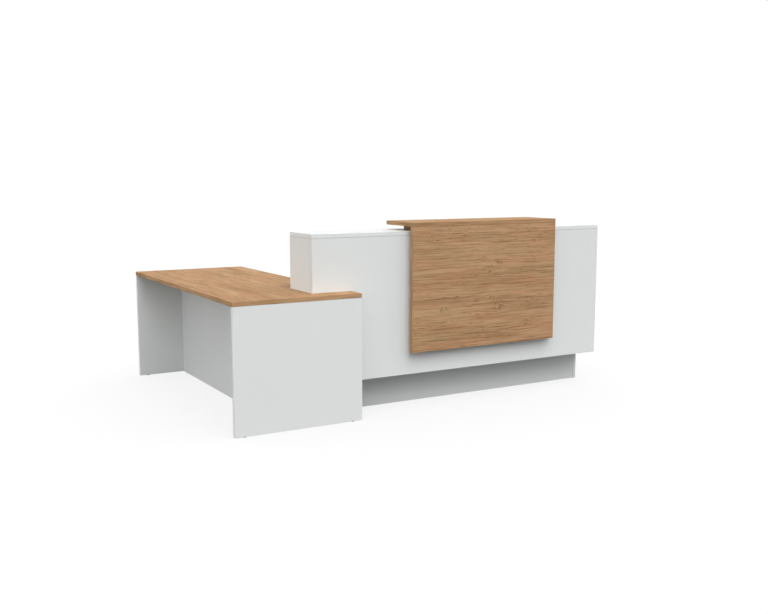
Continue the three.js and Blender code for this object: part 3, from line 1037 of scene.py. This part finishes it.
def repeat_tree(name):
    """Geometry Nodes that stand one shape on each point of a piece, along the point's facing."""
    tree = bpy.data.node_groups.new(name, "GeometryNodeTree")
    for label, kind in REPEAT_INPUTS.items():
        tree.interface.new_socket(label, in_out="INPUT", socket_type=f"NodeSocket{kind}")
    tree.interface.new_socket("Pieces", in_out="OUTPUT", socket_type="NodeSocketGeometry")
    given = add(tree, "NodeGroupInput").outputs
    points = add(tree, "GeometryNodeMeshToPoints", {"Mesh": given["Places"]})
    shape = add(tree, "GeometryNodeObjectInfo", {"Object": given["Shape"]}, transform_space="ORIGINAL")
    facing = add(tree, "GeometryNodeInputNamedAttribute", {"Name": FACING}, data_type="FLOAT_VECTOR")
    facing = facing.outputs["Attribute"]
    upright = add(tree, "FunctionNodeAlignRotationToVector", {"Vector": facing}, axis="Z")
    chance = add(tree, "FunctionNodeRandomValue", {"Seed": given["Seed"]}, data_type="FLOAT")
    tree.links.new(given["Largest turn"], chance.inputs["Max"])
    spin = add(tree, "FunctionNodeAxisAngleToRotation", {"Axis": UP, "Angle": chance.outputs["Value"]})
    values = {"Rotation": upright.outputs[0], "Rotate By": spin.outputs[0]}
    stood = add(tree, "FunctionNodeRotateRotation", values, rotation_space="LOCAL")
    values = {"Points": points.outputs[0], "Instance": shape.outputs["Geometry"]}
    values.update({"Rotation": stood.outputs[0], "Scale": given["Size"]})
    placed = add(tree, "GeometryNodeInstanceOnPoints", values)
    real = add(tree, "GeometryNodeRealizeInstances", {0: placed.outputs[0]})
    values = {"Geometry": real.outputs[0], "Material": given["Finish"]}
    coated = add(tree, "GeometryNodeSetMaterial", values)
    add(tree, "NodeGroupOutput", {"Pieces": coated.outputs[0]})
    return tree


def repeat(name, places, shape, coat, largest_turn):
    """One piece with a shape on every place, where a place is a point and the way it faces."""
    mesh = bpy.data.meshes.new(name)
    mesh.from_pydata([point for point, _ in places], [], [])
    facing = mesh.attributes.new(FACING, "FLOAT_VECTOR", "POINT")
    for k, (_, way) in enumerate(places):
        facing.data[k].vector = way
    piece = bpy.data.objects.new(name, mesh)
    tree = repeat_tree(f"{name}_places")
    made = piece.modifiers.new("places", "NODES")
    made.node_group = tree
    inputs = {"Shape": shape, "Size": 1.0, "Largest turn": largest_turn, "Seed": TURN_SEED}
    inputs["Finish"] = finish(coat)
    for item in tree.interface.items_tree:
        if item.name in inputs:
            made[item.identifier] = inputs[item.name]
    bpy.context.scene.collection.objects.link(piece)
    settle(piece)
    discard(shape)
    if not piece.data.polygons:
        raise RuntimeError(f"{name} came out empty")
    smooth_but_sharp(piece)
    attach(piece, "desk")


def cap_row(node, face, edge, count, boards):
    """The places of one row of caps on a board's face, along one of its edges."""
    lo, hi = BOARD_BOXES[node]
    face_axis, edge_axis = AXES.index(face[1]), AXES.index(edge[1])
    run_axis = other_axis(face_axis, edge_axis)
    way = Vector((0, 0, 0))
    way[face_axis] = 1 if face[0] == "+" else -1
    first, last = lo[run_axis] + boards.cap_end, hi[run_axis] - boards.cap_end
    inset = boards.cap_inset
    row = []
    for k in range(count):
        place = Vector((0, 0, 0))
        place[face_axis] = hi[face_axis] if face[0] == "+" else lo[face_axis]
        place[edge_axis] = hi[edge_axis] - inset if edge[0] == "+" else lo[edge_axis] + inset
        place[run_axis] = first + (last - first) * k / (count - 1)
        row.append((place, way))
    return row


class DESK_OT_cover_caps(bpy.types.Operator):
    """Sets cover caps over the fittings that draw the boards together"""

    bl_idname = "desk.cover_caps"
    bl_label = "Cover caps"

    def execute(self, context):
        boards = context.scene.desk_boards
        places = [place for row in CAP_ROWS for place in cap_row(*row, boards)]
        shape = cap_shape(boards.cap_radius, boards.cap_height)
        repeat("cover_caps", places, shape, "cap_plastic", 0.0)
        return {"FINISHED"}


# Brackets and jointing plates

BEND_STEPS_OUTSIDE = 6
BEND_STEPS_INSIDE = 4
CORNER_STEPS = 5
PLATE_SOFTNESS = 0.3 * MM
PLATE_SOFT_STEPS = 2


def angle_blank(leg, width, fittings):
    """A bent steel angle. Its corner is at the origin, one leg runs down and the other along +X."""
    steel, bend = fittings.steel, fittings.bend
    outline = [(0, -leg)]
    outline += arc((bend, -bend), bend, 180, 90, BEND_STEPS_OUTSIDE)
    outline += [(leg, 0), (leg, -steel)]
    outline += arc((bend, -bend), bend - steel, 90, 180, BEND_STEPS_INSIDE)
    outline += [(steel, -leg)]
    work = prism(outline, width)
    tips = []
    for edge in work.edges:
        right = max(abs(corner.co.x) for corner in edge.verts)
        low = min(corner.co.y for corner in edge.verts)
        if abs(edge.calc_length() - steel) < WELD and (right > leg - WELD or low < WELD - leg):
            tips.append(edge)
    soften(work, tips, fittings.corner, CORNER_STEPS)
    place = Matrix.Translation((0, width / 2, 0)) @ Matrix.Rotation(math.radians(90), 4, "X")
    bmesh.ops.transform(work, matrix=place, verts=work.verts)
    return work


def angle_screws(corner, out, leg, fittings):
    """The places of the four screws in one steel angle."""
    side = out.cross(UP)
    leg_middle = (leg + fittings.steel) / 2
    places = []
    for way in (-1, 1):
        start = corner + side * way * fittings.screw_pitch / 2
        places.append((start + out * fittings.steel - UP * leg_middle, out))
        places.append((start + out * leg_middle - UP * fittings.steel, -UP))
    return places


def plate_blank(lo, hi, fittings):
    """A flat steel plate with round corners and softened edges."""
    work = prism([(lo.x, lo.y), (hi.x, lo.y), (hi.x, hi.y), (lo.x, hi.y)], hi.z - lo.z)
    bmesh.ops.translate(work, vec=(0, 0, lo.z), verts=work.verts)
    uprights = [edge for edge in work.edges if abs(edge.verts[0].co.z - edge.verts[1].co.z) > WELD]
    soften(work, uprights, fittings.corner, CORNER_STEPS)
    level = [edge for edge in work.edges if abs(edge.verts[0].co.z - edge.verts[1].co.z) < WELD]
    soften(work, level, PLATE_SOFTNESS, PLATE_SOFT_STEPS)
    return work


def plate_screws(lo, hi, fittings):
    """The places of the four screws in one jointing plate."""
    middle = (lo + hi) / 2
    half_pitch = fittings.screw_pitch / 2
    places = []
    for x in (lo.x + fittings.plate_screw_inset, hi.x - fittings.plate_screw_inset):
        for y in (middle.y - half_pitch, middle.y + half_pitch):
            places.append((Vector((x, y, lo.z)), -UP))
    return places


class DESK_OT_brackets(bpy.types.Operator):
    """Makes the steel angles and jointing plates under the tops, with their screws"""

    bl_idname = "desk.brackets"
    bl_label = "Brackets and screws"

    def execute(self, context):
        fittings = context.scene.desk_fittings
        places = []
        for node, facing in BRACKET_FACING.items():
            lo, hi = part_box(node)
            middle = (lo + hi) / 2
            out = Vector(facing)
            leg = hi.z - lo.z
            width = (hi.y - lo.y) if facing[0] else (hi.x - lo.x)
            corner = Vector((middle.x, middle.y, hi.z)) - out * leg / 2
            work = angle_blank(leg, width, fittings)
            turn = Matrix.Rotation(math.atan2(out.y, out.x), 4, "Z")
            bmesh.ops.transform(work, matrix=Matrix.Translation(corner) @ turn, verts=work.verts)
            bmesh.ops.recalc_face_normals(work, faces=work.faces)
            fit(work, node, "angle", "zinc_plate")
            places += angle_screws(corner, out, leg, fittings)
        for node in PLATES:
            lo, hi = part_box(node)
            fit(plate_blank(lo, hi, fittings), node, "steel", "zinc_plate")
            places += plate_screws(lo, hi, fittings)
        shape = screw_shape(fittings.screw_head)
        repeat("bracket_screws", places, shape, "zinc_plate", math.pi)
        return {"FINISHED"}


# Levelling feet

FOOT_SIDES = 32
FOOT_SOFTNESS = 0.8 * MM
# A pad's lower edge, cut back inwards and upwards, and a stem's tip, cut back inwards
PAD_EDGE = (0.4 * MM, 0.5 * MM)
STEM_TIP = 0.5 * MM


def foot_profile(pad_radius, height, fittings):
    """Half the section of a foot: a soft-edged pad and a threaded stem."""
    pad, crest, pitch = fittings.pad_height, fittings.stem_radius, fittings.thread_pitch
    root = crest - fittings.thread_depth
    shape = [(0, 0), (pad_radius - PAD_EDGE[0], 0), (pad_radius, PAD_EDGE[1])]
    shape = rounded(shape + [(pad_radius, pad), (crest, pad)], FOOT_SOFTNESS)
    level = pad + pitch
    while level < height - 2 * pitch:
        shape += [(crest, level), (root, level + pitch / 2)]
        level += pitch
    return shape + [(crest - STEM_TIP, height - pitch), (root, height), (0, height)]


class DESK_OT_levelling_feet(bpy.types.Operator):
    """Turns the levelling feet with their pads and threads"""

    bl_idname = "desk.levelling_feet"
    bl_label = "Levelling feet"

    def execute(self, context):
        fittings = context.scene.desk_fittings
        for node in [foot for feet in FEET_OF.values() for foot in feet]:
            lo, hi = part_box(node)
            middle = (lo + hi) / 2
            profile = foot_profile((hi.x - lo.x) / 2, hi.z - lo.z, fittings)
            work = turned(profile, FOOT_SIDES, Matrix.Translation((middle.x, middle.y, lo.z)))
            fit(work, node, "glide", "moulded_black")
        return {"FINISHED"}


# Cable ports

PORT_SIDES = 96
PORT_FLANGE_WIDTH = 6 * MM
PORT_FLANGE_HEIGHT = 2 * MM
# The ledge under a cap, how far it reaches in and how far below the cap it lies
PORT_LEDGE = 3 * MM
PORT_LEDGE_GAP = 0.3 * MM
PORT_CAP_CLEARANCE = 0.4 * MM
PORT_SLOT_WIDTH = 14 * MM
PORT_SLOT_LENGTH = 17 * MM
PORT_SLOT_STEPS = 24
PORT_SOFTNESS = 0.6 * MM
PORT_SOFT_STEPS = 3
PORT_DISH_INSET = 3 * MM
PORT_DISH_DEPTH = 0.5 * MM


def liner_profile(flange_radius, cap_radius, bottom, cap_bottom, top):
    """Half the section of a liner, from its lower outer edge round to its lower inner edge."""
    barrel = flange_radius - PORT_FLANGE_WIDTH
    seat_radius = cap_radius + PORT_CAP_CLEARANCE
    passage = cap_radius - PORT_LEDGE
    under = top - PORT_FLANGE_HEIGHT
    ledge = cap_bottom - PORT_LEDGE_GAP
    section = [(barrel, bottom), (barrel, under), (flange_radius, under), (flange_radius, top)]
    section += [(seat_radius, top), (seat_radius, ledge), (passage, ledge), (passage, bottom)]
    return rounded(section, PORT_SOFTNESS)


def cap_blank(lo, hi, middle):
    """A cap with a cable slot in its rim, a softened edge and a shallow dish."""
    radius = (hi.x - lo.x) / 2
    half = PORT_SLOT_WIDTH / 2
    mouth = math.degrees(math.asin(half / radius))
    slot_end = radius - PORT_SLOT_LENGTH + half
    outline = arc((0, 0), radius, 90 + mouth, 450 - mouth, PORT_SIDES)
    outline += arc((0, slot_end), half, 0, -180, PORT_SLOT_STEPS)
    work = prism(outline, hi.z - lo.z)
    top = max(work.faces, key=lambda face: face.calc_center_median().z)
    rim = list(top.edges)
    bmesh.ops.inset_region(work, faces=[top], thickness=PORT_DISH_INSET, use_even_offset=True)
    bmesh.ops.translate(work, vec=(0, 0, -PORT_DISH_DEPTH), verts=top.verts)
    soften(work, rim, PORT_SOFTNESS, PORT_SOFT_STEPS)
    bmesh.ops.translate(work, vec=(middle.x, middle.y, lo.z), verts=work.verts)
    bmesh.ops.recalc_face_normals(work, faces=work.faces)
    return work


class DESK_OT_cable_ports(bpy.types.Operator):
    """Makes the cable ports' liners and turning caps"""

    bl_idname = "desk.cable_ports"
    bl_label = "Cable ports"

    def execute(self, context):
        for side in SIDES:
            liner, cap = f"port_liner_{side}", f"port_cap_{side}"
            lo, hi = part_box(liner)
            cap_lo, cap_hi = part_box(cap)
            middle = (lo + hi) / 2
            profile = liner_profile((hi.x - lo.x) / 2, (cap_hi.x - cap_lo.x) / 2, lo.z, cap_lo.z, hi.z)
            ring = turned(profile, PORT_SIDES, Matrix.Translation((middle.x, middle.y, 0)))
            fit(ring, liner, "ring", "moulded_black")
            fit(cap_blank(cap_lo, cap_hi, middle), cap, "disc", "moulded_black")
        return {"FINISHED"}


# Stage

FLOOR_DROP = 0.2 * MM
SENSOR_WIDTH = 36.0
# How closely the lights keep to high up, low down and the far right
HIGH_POWER = 3.0
LOW_POWER = 2.0
RIGHT_POWER = 4.0
# The way to the light behind, as shares of right and back
BEHIND = (0.6, 0.8)


def seen_directly(tree):
    """One for rays that show the background itself, and zero for rays that gather light."""
    path = add(tree, "ShaderNodeLightPath").outputs
    shiny = calc("MAXIMUM", path["Is Glossy Ray"], path["Is Transmission Ray"])
    return calc("MAXIMUM", path["Is Camera Ray"], shiny)


def floor_finish(stage):
    """A white floor. Where it is seen it glows, with the desk's shadow painted into that glow near the desk,
    and it throws little light back.
    """
    material = bpy.data.materials.new("studio_floor")
    tree = blank_tree(material)
    plain = add(tree, "ShaderNodeBsdfDiffuse", {"Color": grey(stage.floor_bounce)})
    lit = add(tree, "ShaderNodeBsdfDiffuse", {"Color": grey(stage.floor_share)})
    # Painted shadow: ambient occlusion dims the glow that the camera sees near the desk
    open_share = add(tree, "ShaderNodeAmbientOcclusion", {"Distance": stage.shade_reach}).outputs["AO"]
    depth = stage.floor_glow * stage.floor_shade
    strength = times(open_share, depth, stage.floor_glow - depth)
    glow = add(tree, "ShaderNodeEmission", {"Strength": strength})
    shown = add(tree, "ShaderNodeAddShader", {0: lit.outputs[0], 1: glow.outputs[0]})
    values = {0: seen_directly(tree), 1: plain.outputs[0], 2: shown.outputs[0]}
    both = add(tree, "ShaderNodeMixShader", values)
    add(tree, "ShaderNodeOutputMaterial", {"Surface": both.outputs[0]})
    return material


def studio_world(stage):
    """A white backdrop. Its soft light comes most from high up in front, and lower from the other sides."""
    world = bpy.data.worlds.new("studio")
    tree = blank_tree(world)
    way = add(tree, "ShaderNodeTexCoord").outputs["Generated"]
    right, back, up = add(tree, "ShaderNodeSeparateXYZ", {0: way}).outputs
    above = positive(up)
    high = calc("POWER", above, HIGH_POWER)
    low = calc("POWER", less(1.0, above), LOW_POWER)
    from_front = positive(times(back, -1.0))
    from_left = positive(times(right, -1.0))
    from_right = calc("POWER", positive(right), RIGHT_POWER)
    from_behind = positive(times(right, BEHIND[0], times(back, BEHIND[1])))
    fill = times(from_left, stage.left)
    fill = times(from_right, stage.right, fill)
    fill = times(from_behind, times(low, stage.back), fill)
    light = times(from_front, times(high, stage.front))
    light = times(fill, low, light)
    light = times(light, calc("GREATER_THAN", up, 0.0))
    values = {0: seen_directly(tree), 2: light, 3: 1.0}
    strength = add(tree, "ShaderNodeMix", values, data_type="FLOAT").outputs[0]
    backdrop = add(tree, "ShaderNodeBackground", {"Color": grey(1.0), "Strength": strength})
    add(tree, "ShaderNodeOutputWorld", {"Surface": backdrop.outputs[0]})
    return world


class DESK_OT_stage(bpy.types.Operator):
    """Sets up the floor, the light and the camera"""

    bl_idname = "desk.stage"
    bl_label = "Stage"

    def execute(self, context):
        scene = context.scene
        stage = scene.desk_stage
        work = bmesh.new()
        bmesh.ops.create_grid(work, x_segments=1, y_segments=1, size=stage.floor_size / 2)
        floor = show(work, "studio_floor")
        floor.data.materials.append(floor_finish(stage))
        floor.location.z = -FLOOR_DROP
        scene.world = studio_world(stage)

        camera = bpy.data.objects.new("photo_camera", bpy.data.cameras.new("photo_camera"))
        scene.collection.objects.link(camera)
        camera.location = stage.camera_place
        camera.rotation_euler = stage.camera_turn
        camera.data.lens = stage.lens
        camera.data.sensor_fit = "HORIZONTAL"
        camera.data.sensor_width = SENSOR_WIDTH
        scene.camera = camera
        scene.view_settings.view_transform = "Standard"
        return {"FINISHED"}


# Add-on


class DESK_PT_sidebar(bpy.types.Panel):
    """Lists the desk's pieces and its settings"""

    bl_idname = "DESK_PT_sidebar"
    bl_label = "Reception Desk"
    bl_space_type = "VIEW_3D"
    bl_region_type = "UI"
    bl_category = "Desk"

    def draw(self, context):
        layout = self.layout
        for operator in OPERATORS:
            layout.operator(operator.bl_idname)
        for name, settings in SETTINGS.items():
            group = getattr(context.scene, name)
            layout.label(text=settings.__doc__)
            for prop in group.bl_rna.properties:
                if not prop.is_readonly and prop.identifier != "name":
                    layout.prop(group, prop.identifier)


SETTINGS = {
    "desk_boards": BoardSettings,
    "desk_finishes": FinishSettings,
    "desk_fittings": FittingSettings,
    "desk_stage": StageSettings,
}
OPERATORS = (
    DESK_OT_stage,
    DESK_OT_return_boards,
    DESK_OT_counter_boards,
    DESK_OT_staff_boards,
    DESK_OT_accent_boards,
    DESK_OT_standoffs,
    DESK_OT_brackets,
    DESK_OT_cover_caps,
    DESK_OT_cable_ports,
    DESK_OT_levelling_feet,
)


def register():
    for name, group in SETTINGS.items():
        bpy.utils.register_class(group)
        setattr(bpy.types.Scene, name, PointerProperty(type=group))
    for operator in OPERATORS:
        bpy.utils.register_class(operator)
    bpy.utils.register_class(DESK_PT_sidebar)


def unregister():
    bpy.utils.unregister_class(DESK_PT_sidebar)
    for operator in reversed(OPERATORS):
        bpy.utils.unregister_class(operator)
    for name, group in reversed(SETTINGS.items()):
        delattr(bpy.types.Scene, name)
        bpy.utils.unregister_class(group)


def main():
    register()
    bpy.ops.desk.stage()
    bpy.ops.desk.return_boards()
    bpy.ops.desk.counter_boards()
    bpy.ops.desk.staff_boards()
    bpy.ops.desk.accent_boards()
    bpy.ops.desk.standoffs()
    bpy.ops.desk.brackets()
    bpy.ops.desk.cover_caps()
    bpy.ops.desk.cable_ports()
    bpy.ops.desk.levelling_feet()


if __name__ == "__main__":
    main()
